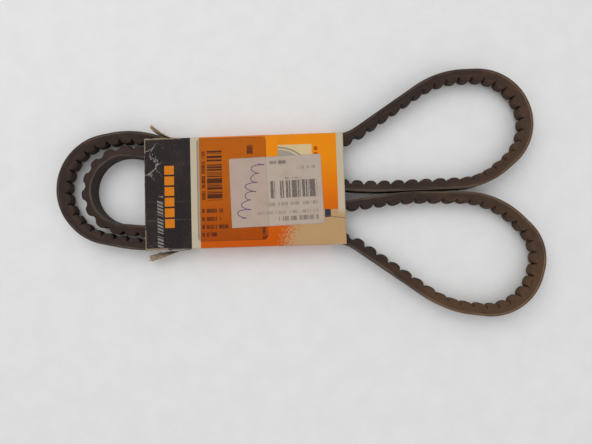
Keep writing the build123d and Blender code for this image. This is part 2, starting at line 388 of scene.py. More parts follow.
def cog_outline():
    """(along, depth) of the inner surface over one pitch, from the middle of a notch."""
    half, cog, tip = PITCH / 2, COG_WIDTH / 2, COG_FLAT / 2
    notch = half - cog
    side = [(-half, COG_ROOT), (-half + 0.45 * notch, COG_ROOT + 0.13 * MM)]
    side += [(-half + 0.82 * notch, COG_ROOT + 0.55 * MM), (-cog, COG_SHOULDER)]
    for k in range(1, ROUND_STEPS + 1):
        turn = math.pi / 2 * k / ROUND_STEPS
        along = -tip - (cog - tip) * math.cos(turn)
        side.append((along, COG_SHOULDER + (BELT_HEIGHT - COG_SHOULDER) * math.sin(turn)))
    return side + [(0.0, BELT_HEIGHT)] + [(-along, depth) for along, depth in reversed(side)]


def section(depth):
    """(depth, across) round the belt's section, for an inner surface at this depth."""
    half = TOP_WIDTH / 2
    up = [(0.0, (half - EDGE_ROUND) * k / BACK_STEPS) for k in range(BACK_STEPS + 1)]
    up += [(d * MM, half - d * MM * GROOVE_SLOPE) for d in SIDE_DEPTHS]
    middle = (5.0 * MM + depth) / 2
    rim = depth - 0.15 * MM
    up += [(d, half - d * GROOVE_SLOPE) for d in (middle, max(rim, middle))]
    inner = half - depth * GROOVE_SLOPE - 0.12 * MM
    up += [(depth, inner * (1 - k / 2)) for k in range(2)]
    down = [(d, -across) for d, across in reversed(up[1:])]
    return up + [(depth, 0.0)] + down


def pitch_module():
    """Straight length of belt: x along, y depth, z across, with how stiff each point is."""
    outline = cog_outline()
    rings = [section(depth) for _, depth in outline]
    count = len(rings[0])
    places, stiff = [], []
    for (along, _), ring in zip(outline, rings):
        clear = smooth(0.0, PITCH / 2 - COG_WIDTH / 2, PITCH / 2 - abs(along))
        for depth, across in ring:
            places.append((along + PITCH / 2, depth, across))
            stiff.append(clear * smooth(3.2 * MM, COG_SHOULDER, depth))
    faces = []
    for i in range(len(rings) - 1):
        for j in range(count):
            a, b = i * count + j, i * count + (j + 1) % count
            faces.append((a, b, b + count, a + count))
    mesh = bpy.data.meshes.new("pitch")
    mesh.from_pydata(places, [], faces)
    mesh.attributes.new("stiff", "FLOAT", "POINT").data.foreach_set("value", stiff)
    return put("pitch", mesh)


pitch = pitch_module()
print("one pitch:", round(PITCH / MM, 3), "mm,", len(pitch.data.polygons), "faces")

# %% [markdown]
# ## Bending the belt
# The real belt is one long moulding bent into place, and Geometry Nodes can do just that: lay the
# pitches end to end, then carry each point to its place on the curve. A point with no stiffness
# follows the curve where it is; a stiff point follows the middle of its cog, turned but not bent.
# The same tree takes a longer or a wider belt, because its sizes are named inputs.


# %% Tree that bends a belt
class Tree:
    """A Geometry Nodes tree with named inputs."""

    def __init__(self, name, inputs):
        self.group = bpy.data.node_groups.new(name, "GeometryNodeTree")
        self.sockets = {}
        for label, kind, value in inputs:
            made = self.group.interface.new_socket(label, in_out="INPUT", socket_type=kind)
            if value is not None:
                made.default_value = value
            self.sockets[label] = made.identifier
        shape = "NodeSocketGeometry"
        self.group.interface.new_socket("Geometry", in_out="OUTPUT", socket_type=shape)
        self.source = self.group.nodes.new("NodeGroupInput")
        self.result = self.group.nodes.new("NodeGroupOutput")

    def input(self, label):
        return self.source.outputs[label]

    def plug(self, slot, value):
        if isinstance(value, bpy.types.NodeSocket):
            self.group.links.new(value, slot)
        else:
            slot.default_value = value

    def node(self, kind, settings=None, **values):
        node = self.group.nodes.new(kind)
        for key, value in (settings or {}).items():
            setattr(node, key, value)
        for key, value in values.items():
            self.plug(node.inputs[key.replace("_", " ")], value)
        return node

    def shape(self, kind, settings=None, **values):
        """The first output of a new geometry node."""
        return self.node("GeometryNode" + kind, settings, **values).outputs[0]

    def math(self, operation, *values):
        node = self.node("ShaderNodeMath", {"operation": operation})
        for slot, value in zip(node.inputs, values):
            self.plug(slot, value)
        return node.outputs[0]

    def vector(self, operation, first, second=None, scale=None):
        node = self.node("ShaderNodeVectorMath", {"operation": operation})
        for slot, value in ((0, first), (1, second), ("Scale", scale)):
            if value is not None:
                self.plug(node.inputs[slot], value)
        return node.outputs[0]

    def end(self, geometry, material):
        whole = self.shape("RealizeInstances", Geometry=geometry)
        dressed = self.shape("SetMaterial", Geometry=whole, Material=material)
        self.group.links.new(dressed, self.result.inputs[0])

    def apply(self, holder, name, **values):
        """Runs the tree on an object and returns the result as a plain mesh object."""
        modifier = holder.modifiers.new("tree", "NODES")
        modifier.node_group = self.group
        for label, value in values.items():
            modifier[self.sockets[label]] = value
        mesh = evaluated_mesh(holder)
        holder.modifiers.remove(modifier)
        return put(name, mesh)


def bending_tree():
    tree = Tree(
        "bend_belt",
        [
            ("Line", "NodeSocketObject", None),
            ("Pitch Module", "NodeSocketObject", None),
            ("Cogs", "NodeSocketInt", 153),
            ("Pitch", "NodeSocketFloat", 0.01),
            ("Middle Height", "NodeSocketFloat", 0.007),
            ("Material", "NodeSocketMaterial", None),
        ],
    )
    pitch, cogs = tree.input("Pitch"), tree.input("Cogs")
    line_in = tree.node("GeometryNodeObjectInfo", Object=tree.input("Line"))
    curve = tree.shape("MeshToCurve", Mesh=line_in.outputs["Geometry"])
    curve = tree.shape("CurveSplineType", {"spline_type": "CATMULL_ROM"}, Curve=curve)
    fine = tree.shape("SetSplineResolution", Geometry=curve, Resolution=10)
    length = tree.shape("CurveLength", Curve=fine)
    module = tree.node("GeometryNodeObjectInfo", Object=tree.input("Pitch Module"))
    step = tree.node("ShaderNodeCombineXYZ", X=pitch).outputs[0]
    row = tree.shape("MeshLine", Count=cogs, Offset=step)
    laid = tree.shape("InstanceOnPoints", Points=row, Instance=module.outputs["Geometry"])
    belt = tree.shape("RealizeInstances", Geometry=laid)
    belt = tree.shape("MergeByDistance", Geometry=belt, Distance=0.002 * MM)

    position = tree.shape("InputPosition")
    along, depth, across = tree.node("ShaderNodeSeparateXYZ", Vector=position).outputs
    for label, value in (("along", along), ("depth", depth), ("across", across)):
        stored = tree.node("GeometryNodeStoreNamedAttribute", Geometry=belt, Name=label)
        tree.group.links.new(value, stored.inputs["Value"])
        belt = stored.outputs[0]
    number = tree.math("FLOOR", tree.math("DIVIDE", along, pitch))
    centre = tree.math("MULTIPLY", tree.math("ADD", number, 0.5), pitch)
    offset = tree.math("SUBTRACT", along, centre)
    stretch = tree.math("DIVIDE", length, tree.math("MULTIPLY", pitch, cogs))
    stiff = tree.shape("InputNamedAttribute", Name="stiff")

    def carried(distance, forward):
        """Where a point lies when the curve's frame at a distance carries it."""
        reach = tree.math("MULTIPLY", distance, stretch)
        mode = {"mode": "LENGTH"}
        sample = tree.node("GeometryNodeSampleCurve", mode, Curves=fine, Length=reach)
        ahead = sample.outputs["Tangent"]
        part = tree.node("ShaderNodeSeparateXYZ", Vector=ahead)
        back_y = tree.math("MULTIPLY", part.outputs[1], -1.0)
        inward = tree.node("ShaderNodeCombineXYZ", X=back_y, Y=part.outputs[0]).outputs[0]
        sunk = tree.vector("SCALE", inward, scale=depth)
        spot = tree.vector("ADD", sample.outputs["Position"], sunk)
        if forward is None:
            return spot
        return tree.vector("ADD", spot, tree.vector("SCALE", ahead, scale=forward))

    soft, rigid = carried(along, None), carried(centre, offset)
    blend = tree.node("ShaderNodeMix", {"data_type": "VECTOR"})
    for slot, value in ((0, stiff), (4, soft), (5, rigid)):
        tree.plug(blend.inputs[slot], value)
    height = tree.math("ADD", across, tree.input("Middle Height"))
    lift = tree.node("ShaderNodeCombineXYZ", Z=height).outputs[0]
    whole = tree.vector("ADD", blend.outputs[1], lift)
    bent = tree.shape("SetPosition", Geometry=belt, Position=whole)
    closed = tree.shape("MergeByDistance", Geometry=bent, Distance=0.03 * MM)
    tree.end(closed, tree.input("Material"))
    return tree


bend_belt = bending_tree()
print("bending tree:", len(bend_belt.group.nodes), "nodes")

# %% [markdown]
# ## Belt finish
# A raw-edge belt has three kinds of surface. Its back is rubbered cloth, worn brown. Its side
# faces are ground, so they show the cut layers: a tan line of cloth, a paler band where the cords
# lie, then dull rubber full of short fibres. Its cogs are moulded, and painted shade makes them
# nearly black down in the notches.
# The attributes from the tree say how deep a point lies, so one material can hold all three.


# %% Belt material
def belt_finish():
    belt = Finish("belt_rubber")
    along, depth, across = [belt.attribute(name) * METRE for name in ("along", "depth", "across")]
    x, y = belt.axes("XY")

    coarse = belt.noise(belt.point(along * 0.05, depth * 0.3, across * 0.2), 1.0, 4.0, 0.6)
    streaks = belt.noise(belt.point(along * 0.12, depth * 5.0, across * 1.3), 1.0, 4.0, 0.65)
    specks = belt.noise(belt.point(along * 1.6, depth * 2.2, across * 2.2), 1.0, 5.0, 0.7)
    fibres = belt.noise(belt.point(along * 3.5, depth * 1.1, across * 1.1), 1.0, 2.0, 0.5)
    blotch = belt.noise(belt.point(along * 0.16, depth * 0.30, across * 0.25), 1.0, 4.0, 0.65)

    # The right end and the lower loop have gathered more brown dust than the rest.
    right_end = (x + y * -0.35).ramp(70.0, 165.0)
    low_loop = (y * -1.0).ramp(28.0, 80.0) * x.ramp(45.0, 100.0)
    dust = (right_end * 0.55 + low_loop * 0.6 + coarse.ramp(0.42, 0.72) * 0.4).clamp()
    rubber = belt.mix(dust, (0.032, 0.0195, 0.0165), (0.090, 0.048, 0.024))
    rubber = belt.mix(blotch.ramp(0.50, 0.68) * (dust * 0.5 + 0.15), rubber, (0.115, 0.052, 0.030))
    rubber = belt.mix(blotch.ramp(0.45, 0.30) * 0.5, rubber, (0.018, 0.012, 0.011))
    rubber = belt.mix(specks.ramp(0.54, 0.78) * 0.4, rubber, (0.13, 0.09, 0.066))
    rubber = belt.mix(streaks.ramp(0.55, 0.8) * 0.45, rubber, (0.012, 0.009, 0.008))

    # Cut layers on the side faces: the cloth's edge and the layer under it, worn away in places.
    cut = depth + (streaks - 0.5) * 0.35 + (coarse - 0.5) * 0.3
    cloth = cut.ramp(0.06, 0.16) * cut.ramp(0.55, 0.40)
    cord = cut.ramp(0.95, 1.10) * cut.ramp(1.55, 1.38)
    worn = coarse.ramp(0.34, 0.56)
    tan = belt.mix(dust, (0.145, 0.112, 0.088), (0.30, 0.205, 0.125))
    sides = belt.mix(cloth * (worn * 0.35 + 0.45), rubber, tan)
    sides = belt.mix(cord * (worn * 0.5 + 0.15), sides, tan)
    chips = specks.above(0.70) * streaks.above(0.50)
    sides = belt.mix(chips * 0.6, sides, (0.34, 0.29, 0.25))

    # Rubbered cloth on the back: threads at 45 degrees, rubbed paler on top.
    weave = ((along + across) * 5.2).sin() * ((along - across) * 5.2).sin()
    back = depth.below(0.05)
    rubbed = weave.ramp(-0.3, 0.6) * 0.5 + specks * 0.2
    thread = belt.mix(rubbed, (0.024, 0.018, 0.016), (0.075, 0.055, 0.043))
    colour = belt.mix(back, sides, thread)

    # Painted shade: the moulded surface is darkened down in the notches, the recesses where shade
    # falls.
    rim = TOP_WIDTH / MM / 2 - depth * GROOVE_SLOPE - across.abs()
    notch_painted_shade = depth.ramp(6.2, 5.3) * depth.above(5.0) * rim.above(0.25)
    colour = belt.mix(notch_painted_shade * 0.8, colour, (0.006, 0.005, 0.005))
    rough = 0.60 + specks * 0.22 - streaks.ramp(0.5, 0.75) * 0.12
    height = fibres * 0.5 + streaks * 0.9 + back * weave * 0.7 + (cloth + cord) * 0.4
    return belt.finish(colour, rough, height, strength=0.55, distance=0.22, shine=0.2)


belt_material = belt_finish()
print("belt material ready")

# %% Belt
SHARP_ANGLE = 40


def outward(made):
    """Turns every face outwards on a closed mesh."""
    shape = bmesh.new()
    shape.from_mesh(made.data)
    bmesh.ops.recalc_face_normals(shape, faces=shape.faces)
    if shape.calc_volume(signed=True) < 0:
        bmesh.ops.reverse_faces(shape, faces=shape.faces)
    shape.to_mesh(made.data)
    shape.free()


def shade(made, angle=SHARP_ANGLE):
    """Smooth shading with sharp edges kept."""
    made.data.shade_smooth()
    made.data.set_sharp_from_angle(angle=math.radians(angle))


holder = put("holder", bpy.data.meshes.new("holder"))
belt = bend_belt.apply(
    holder,
    "cogged_belt",
    Line=line,
    **{"Pitch Module": pitch, "Cogs": COGS, "Pitch": PITCH, "Middle Height": BELT_MIDDLE},
    Material=belt_material,
)
for helper in (holder, line, pitch):
    bpy.data.objects.remove(helper)
outward(belt)
shade(belt)
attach(belt, "belt")
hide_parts("back_fabric", "cushion_rubber", "adhesion_rubber", "compression_rubber")
print("belt:", len(belt.data.polygons), "faces")

# %% [markdown]
# ## Card sleeve
# The sleeve is one sheet of printed card folded into a flat tube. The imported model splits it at
# its creases; here it is one sheet again, with rounded folds. Where the side walls stop, the
# sheet opens flat instead, and at the left mouth, where the belt has burst the walls, that flat
# border is ragged. A grid of points is bent into the tube, and Solidify gives it its thickness.

# %% Sleeve outline
FOLD = 0.9 * MM
FOLD_STEPS = 4
STATION = 2.0 * MM
PANEL_LENGTH = (RIGHT_MOUTH - LEFT_MOUTH) / MM
PANEL_WIDTH = (HIGH_EDGE - LOW_EDGE) / MM


def run(start, end, part):
    """Points (y, z, part) from start up to end, evenly spaced."""
    count = max(1, round(math.dist(start, end) / STATION))
    (y, z), (end_y, end_z) = start, end
    steps = [k / count for k in range(count)]
    return [(y + (end_y - y) * t, z + (end_z - z) * t, part) for t in steps]


def fold(y, z, angle, part):
    """Points round a fold, turning down by a quarter."""
    turns = [math.radians(angle - 90 * k / FOLD_STEPS) for k in range(FOLD_STEPS)]
    return [(y + FOLD * math.cos(turn), z + FOLD * math.sin(turn), part) for turn in turns]


def tube_outline():
    """The tube's section from the outside, clockwise seen along +X, starting on top."""
    low, high = LOW_EDGE + FOLD, HIGH_EDGE - FOLD
    under, top = back_low.z + FOLD, FRONT_TOP - FOLD
    outline = run((low, FRONT_TOP), (high, FRONT_TOP), "front")
    outline += fold(high, top, 90, "upper_top")
    outline += run((HIGH_EDGE, top), (HIGH_EDGE, under), "upper")
    outline += fold(high, under, 0, "upper_foot")
    outline += run((high, back_low.z), (low, back_low.z), "back")
    outline += fold(low, under, -90, "lower_foot")
    outline += run((LOW_EDGE, under), (LOW_EDGE, top), "lower")
    return outline + fold(low, top, 180, "lower_top")


print("outline:", len(tube_outline()), "points round")

# %% Sleeve sheet
TORN_LENGTH = 8.0 * MM  # how far past the start of the upper wall the border is torn
TORN_REACH = 1.0 * MM
CUT_REACH = 0.1 * MM


def wander(x, y, z, scale):
    """A smooth random number from about -1 to 1, the same on every run."""
    return noise.noise(Vector((x, y, z)) / scale)


def has_wall(part, x):
    """Whether this side of the tube has its wall at x."""
    if "upper" in part:
        return upper_wall_low.x < x < upper_wall_high.x
    return lower_wall_low.x < x < lower_wall_high.x


def opened(y, z, part, step, x):
    """A fold point laid flat, out past the panel's edge, with a torn or a cut border."""
    if part not in ("upper_top", "upper_foot", "lower_top", "lower_foot"):
        return y, z
    side = 1 if "upper" in part else -1
    panel_z = FRONT_TOP if "top" in part else back_low.z
    share = step / FOLD_STEPS
    torn = x < upper_wall_low.x + TORN_LENGTH
    rough = wander(x, y, z, 2.3 * MM) * 0.8 + wander(x, y, z, 0.9 * MM) * 0.5
    reach = (TORN_REACH * (0.4 + rough) if torn else CUT_REACH) + FOLD * 0.9
    edge = (HIGH_EDGE if side > 0 else LOW_EDGE) - side * FOLD
    fray = wander(x, y, z, 1.3 * MM) * 0.35 * MM * share if torn else 0.0
    return edge + side * reach * share, panel_z + (fray if "top" in part else abs(fray))


def sleeve_shape():
    outline = tube_outline()
    count = len(outline)
    steps = round((RIGHT_MOUTH - LEFT_MOUTH) / (STATION / 2))
    xs = [LEFT_MOUTH + (RIGHT_MOUTH - LEFT_MOUTH) * k / steps for k in range(steps + 1)]
    order = []
    for j, (_, _, part) in enumerate(outline):
        first = next(k for k, point in enumerate(outline) if point[2] == part)
        order.append(j - first if "top" in part or "foot" in part else 0)
    shape = bmesh.new()
    grid = []
    for x in xs:
        ring = []
        for (y, z, part), step in zip(outline, order):
            if part not in ("front", "back") and not has_wall(part, x):
                # Steps count outwards from the panel on both sides.
                outward_step = step if part in ("upper_top", "lower_foot") else FOLD_STEPS - step
                y, z = opened(y, z, part, outward_step, x)
            ragged_end = 0.12 * MM * wander(y, z, x, 1.6 * MM)
            end = ragged_end if x in (xs[0], xs[-1]) else 0.0
            ring.append(shape.verts.new((x + end, y, z)))
        grid.append(ring)
    for i in range(steps):
        middle_x = (xs[i] + xs[i + 1]) / 2
        for j in range(count):
            part, after = outline[j][2], outline[(j + 1) % count][2]
            border = part in ("upper", "lower") or after in ("upper", "lower")
            if border and not has_wall(part + after, middle_x):
                continue
            here, ahead, beside = grid[i], grid[i + 1], (j + 1) % count
            shape.faces.new([here[j], here[beside], ahead[beside], ahead[j]])
    settle(shape)
    highest = max(shape.faces, key=lambda face: face.calc_center_median().z)
    if highest.normal.z < 0:
        bmesh.ops.reverse_faces(shape, faces=shape.faces)
    return put_sheet("card_sleeve", shape, CARD, -1.0)


sleeve = sleeve_shape()
print("sleeve sheet:", len(sleeve.data.polygons), "faces")

# %% [markdown]
# ## Print on the card
# The print is flat ink, so it belongs in the material. Distances are in millimetres from the
# sleeve's left mouth and lower edge. Each block of ink is a mask, a product of edges, and masks
# are mixed in one after another like stencils. Where the real thing has words there are only
# rows of fine upright ticks, and where it has a name there are plain blocks.


# %% Stencils
class Stencil:
    """Masks on a flat face, in millimetres from its own corner."""

    def __init__(self, finish, x, y):
        self.finish = finish
        self.x = x
        self.y = y

    def box(self, left, low, right, high):
        inside = self.x.above(left) * self.x.below(right)
        return inside * self.y.above(low) * self.y.below(high)

    def bars(self, box, along, width, seed, share=0.5):
        """Random bars across a box, counted on one axis."""
        number = ((self.x if along == "x" else self.y) * (1.0 / width)).floor()
        return self.box(*box) * self.finish.chance(number + seed).below(share)

    def words(self, box, along, letter, seed, share=0.8):
        """A row of fine ticks in groups, where the real thing has words."""
        place = (self.x if along == "x" else self.y) * (1.0 / letter)
        ticks = self.finish.chance((place * 4.0).floor() + seed)
        gaps = self.finish.chance((place * 0.22).floor() + seed).below(0.93)
        gaps = gaps * (place % 4.6).below(3.9)
        return self.box(*box) * gaps * ticks.below(share) * (0.55 + ticks * 0.5)

    def ring(self, centre_x, centre_y, inner, outer):
        across, up = self.x - centre_x, self.y - centre_y
        reach = (across * across + up * up).math("SQRT")
        return reach.above(inner) * reach.below(outer)


BLACK_END, STRIP_END, RIGHT_STRIP = 32.9, 39.3, 137.0
print("panel", round(PANEL_LENGTH, 1), "x", round(PANEL_WIDTH, 1), "mm")


# %% Colours of the print
def orange_field(ink, blot):
    """Orange, deeper towards the bottom and brighter at the upper right."""
    card = ink.finish
    deep = card.mix(ink.y.ramp(2.0, 45.0), (0.55, 0.078, 0.0005), (0.70, 0.155, 0.001))
    bright = ink.x.ramp(86.5, 87.5) * ink.y.ramp(30.0, 66.0)
    return card.mix(bright * 0.8 + blot * 0.12, deep, (0.84, 0.27, 0.002))


def front_print(ink, blot):
    """Everything printed on the front panel's orange and cream."""
    card, x, y = ink.finish, ink.x, ink.y
    cream = card.mix(blot, (0.49, 0.395, 0.27), (0.60, 0.53, 0.405))
    tan_cream = card.mix(blot, (0.46, 0.27, 0.115), (0.52, 0.34, 0.18))
    dots = card.noise(card.point(x, y, 0.0), 0.95, 1.0, 0.7)
    fade = (x - 95.0 + (18.0 - y) * 0.35) * 0.04
    speckled = dots.below(fade * 0.5 + 0.3) * x.above(93.0)
    low_cream = (y.below(24.9) * x.above(119.0) + speckled * y.below(24.9)).clamp()
    front = card.mix(low_cream, orange_field(ink, blot), tan_cream)
    strips = x.above(RIGHT_STRIP) * y.ramp(20.0, 26.0) + x.below(STRIP_END)
    front = card.mix(strips, front, cream)

    window = ink.box(95.5, 52.0, 119.5, 71.8)
    front = card.mix(window, front, (0.66, 0.50, 0.27))
    front = card.mix(window * ink.ring(95.0, 45.0, 0.0, 23.5) * 0.9, front, (0.30, 0.29, 0.25))
    front = card.mix(window * ink.ring(95.0, 45.0, 24.4, 25.6), front, (0.26, 0.25, 0.22))
    front = card.mix(ink.box(127.4, 19.4, 131.6, 25.0), front, (0.030, 0.036, 0.050))
    squares = ink.box(121.0, 62.0, 123.6, 70.0) * (y % 4.2).below(2.8)
    return card.mix(squares * 0.75, front, (0.24, 0.035, 0.004))


def dark_ink(ink):
    """A barcode with its row of ticks, four rows of ticks and two short upright ones."""
    dark = ink.bars((44.6, 33.8, 55.4, 69.6), "y", 0.45, 17.0, 0.56)
    dark = dark.most(ink.words((40.7, 34.4, 43.3, 69.0), "y", 2.3, 5.0))
    for row, (low, right) in enumerate(((25.0, 56.0), (19.2, 54.0), (13.6, 61.5), (8.2, 51.0))):
        dark = dark.most(ink.words((40.4, low, right, low + 2.9), "x", 1.9, 40.0 + 7 * row, 0.86))
    dark = dark.most(ink.words((73.3, 63.0, 77.6, 72.6), "y", 3.6, 90.0, 0.95))
    return dark.most(ink.words((83.2, 8.5, 85.2, 13.6), "y", 1.6, 3.0, 0.9))


def black_print(ink, blot):
    """The black end, with plain blocks in place of a mark and slanted grey dashes."""
    card, x, y = ink.finish, ink.x, ink.y
    black = card.mix(blot, (0.0155, 0.0115, 0.0115), (0.030, 0.024, 0.0235))
    blocks = ink.box(14.2, 15.2, 21.0, 59.6) * (y % 7.6).below(6.3)
    black = card.mix(blocks * 0.92, black, (0.72, 0.21, 0.004))
    slant = (y + (x - 8.5) * 0.4) * (1.0 / 2.4)
    dashes = (slant % 1.0).below(0.6) * ink.box(8.8, 1.5, 12.9, 38.0) * (slant % 5.2).below(4.2)
    return card.mix(dashes * 0.8, black, (0.27, 0.25, 0.23))


print("print colours ready")


# %% Printed card
def printed_card():
    card = Finish("printed_card")
    x, y, z = card.axes()
    x, y = x - LEFT_MOUTH / MM, y - LOW_EDGE / MM
    ink = Stencil(card, x, y)
    at = card.point(x, y, z)
    blot = card.noise(at, 0.06, 4.0, 0.6)
    grit = card.noise(at, 2.2, 5.0, 0.7)
    scratch = card.noise(card.point(x * 0.35, y * 3.2, z), 1.0, 4.0, 0.7)
    crossed = card.noise(card.point(x * 2.6, y * 0.3, z), 1.0, 4.0, 0.7)

    front = card.mix(dark_ink(ink) * 0.88, front_print(ink, blot), (0.035, 0.012, 0.010))
    walls = card.mix(x.below(STRIP_END), orange_field(ink, blot), (0.56, 0.48, 0.36))
    on_front = z.above(FRONT_TOP / MM - 0.35)
    printed = card.mix(on_front, walls, front)
    printed = card.mix(x.below(BLACK_END + 0.1), printed, black_print(ink, blot))

    # Bare card shows inside the tube, on torn borders and along the rubbed edges.
    fibre = card.mix(grit, (0.16, 0.112, 0.072), (0.40, 0.31, 0.22))
    inner = z.above(CARD / MM * 0.6) * z.below((FRONT_TOP - CARD) / MM + 0.15)
    inner = inner * y.above(CARD / MM * 0.7) * y.below(PANEL_WIDTH - CARD / MM * 0.7)
    tear_line = (grit - 0.5) * 1.6 + (scratch - 0.5) * 1.0
    torn = (y + tear_line).above(PANEL_WIDTH - 0.9) * x.below(26.5)
    torn = torn.most((y + tear_line).below(1.0) * x.below(16.0))
    torn = torn.most((x + tear_line * 0.6).below(0.75) * (y.below(14.0) + y.above(69.0)))
    edge = y.ramp(0.9, 0.2) + y.ramp(PANEL_WIDTH - 0.9, PANEL_WIDTH - 0.2)
    mouth = x.ramp(0.55, 0.1) + x.ramp(PANEL_LENGTH - 0.6, PANEL_LENGTH - 0.1)
    rubbed = ((edge * 0.6 + mouth) * grit.ramp(0.40, 0.6)).clamp()

    # White cracks by the burst corners, scuffs on the black end, and a few long faint creases.
    warp = (card.noise(at, 0.30, 3.0, 0.6) - 0.5) * 10.0
    cell = card.node(
        "ShaderNodeTexVoronoi",
        {"feature": "DISTANCE_TO_EDGE", "voronoi_dimensions": "2D"},
        Vector=card.point(x + warp, y + warp * 0.8, 0.0),
        Scale=0.085,
    )
    corner = x.ramp(15.0, 7.0) * y.ramp(46.0, 55.0) * y.ramp(77.0, 72.0)
    low_corner = x.ramp(19.0, 7.0) * y.ramp(15.0, 5.0)
    cracks = (cell.ramp(0.026, 0.008) * corner * scratch.ramp(0.38, 0.48)).clamp()
    scuffs = scratch.ramp(0.57, 0.70) * grit.ramp(0.48, 0.62) * (low_corner * 1.2 + 0.40)
    most_worn = low_corner + corner * 0.6 + 0.25
    scuffs = scuffs + crossed.ramp(0.66, 0.74) * grit.ramp(0.5, 0.6) * most_worn
    creases = (y - 21.5 + blot * 1.6).abs().ramp(0.30, 0.06)
    creases = creases + (y - 33.0 - blot * 2.0).abs().ramp(0.22, 0.05)
    faint = creases * 0.12 * scratch.ramp(0.4, 0.55)
    light = (cracks + (scuffs * 0.9 + faint) * x.below(BLACK_END)).clamp()
    fold_line = (y - 21.0 + (x - 128.0) * 0.15 + blot * 1.2).abs().ramp(0.55, 0.1)
    fold_line = fold_line * x.ramp(126.0, 131.0)

    grime = (blot.ramp(0.45, 0.8) * 0.14 + grit.ramp(0.60, 0.75) * 0.22).clamp()
    worn = card.mix(grime, printed, (0.14, 0.08, 0.045))
    worn = card.mix(light, worn, (0.52, 0.48, 0.45))
    worn = card.mix(fold_line * 0.7, worn, (0.15, 0.115, 0.085))
    worn = card.mix(rubbed * 0.75, worn, (0.40, 0.33, 0.25))
    worn = card.mix((torn + inner).clamp(), worn, fibre)

    dents = card.noise(at, 0.22, 3.0, 0.5) * 1.4 + cracks * 1.4 - fold_line * 1.5
    dents = dents + grit * 0.15 + torn * grit
    rough = (0.40 + grit * 0.18 + light * 0.3 + rubbed * 0.2 + torn * 0.3).clamp()
    return card.finish(worn, rough, dents, strength=0.4, distance=0.4, shine=0.09)


sleeve.data.materials.append(printed_card())
shade(sleeve, 50)
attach(sleeve, "sleeve")
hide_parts("front_panel", "back_panel", "upper_wall", "lower_wall")
print("sleeve dressed")

# %% [markdown]
# ## Film and paper label
# A clear film lies over part of the print and a paper label lies partly over the film. Both keep
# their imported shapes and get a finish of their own. The film is a thin see-through layer that
# darkens the ink a little, so its Alpha does the work; its rim is denser, where glue shows.


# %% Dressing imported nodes
def dress(node, material):
    """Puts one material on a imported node."""
    made = nodes[node]
    if not made.material_slots:
        made.data.materials.append(material)
    for slot in made.material_slots:
        slot.material = material


film_low, film_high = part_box("film_label")
label_low, label_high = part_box("price_label")
FILM_EDGE = (film_high.x - LEFT_MOUTH) / MM


# %% Clear film
def clear_film():
    film = Finish("clear_film")
    x, y = film.axes("XY")
    left, low = film_low.x / MM, film_low.y / MM
    right, high = film_high.x / MM, film_high.y / MM
    inset = (x - left).least(right - x).least(y - low).least(high - y)
    haze = film.noise(film.point(x, y, 0.0), 0.12, 4.0, 0.6)
    scratches = film.noise(film.point(x * 0.5, y * 4.0, 0.0), 1.0, 3.0, 0.6)
    rim = inset.ramp(0.9, 0.15)
    alpha = (haze * 0.08 + 0.09 + rim * 0.14 + scratches.ramp(0.62, 0.75) * 0.06).clamp()
    film.plug(film.shader.inputs["Alpha"], alpha)
    tint = film.mix(rim, (0.05, 0.022, 0.006), (0.13, 0.08, 0.03))
    rough = 0.16 + haze * 0.18
    bump = haze + scratches * 0.1
    return film.finish(tint, rough, bump, strength=0.25, distance=0.3, shine=0.27)


dress("film_label", clear_film())
print("film dressed, edge at", round(FILM_EDGE, 1), "mm")

# %% Paper label
LABEL_TURN = math.radians(1.4)
LABEL_LENGTH, LABEL_HEIGHT = 65.3, 49.4
FILM_RIDGE = 26.3  # where the film's edge shows through the paper
# Rows of ticks: their box, the width of a letter, a seed, the share of ticks, and the strength.
LABEL_ROWS = [
    ((28.6, 43.8, 40.5, 46.2), 1.9, 60.0, 0.8, 0.9),
    ((45.0, 39.4, 61.0, 41.6), 2.1, 70.0, 0.55, 0.55),
    ((38.5, 32.6, 51.0, 34.0), 1.2, 75.0, 0.7, 0.6),
    ((27.0, 14.0, 61.5, 16.4), 1.8, 80.0, 0.7, 0.6),
    ((18.5, 8.2, 61.5, 10.4), 1.8, 85.0, 0.62, 0.5),
    ((33.5, 3.2, 61.5, 6.4), 2.6, 95.0, 0.85, 0.8),
]


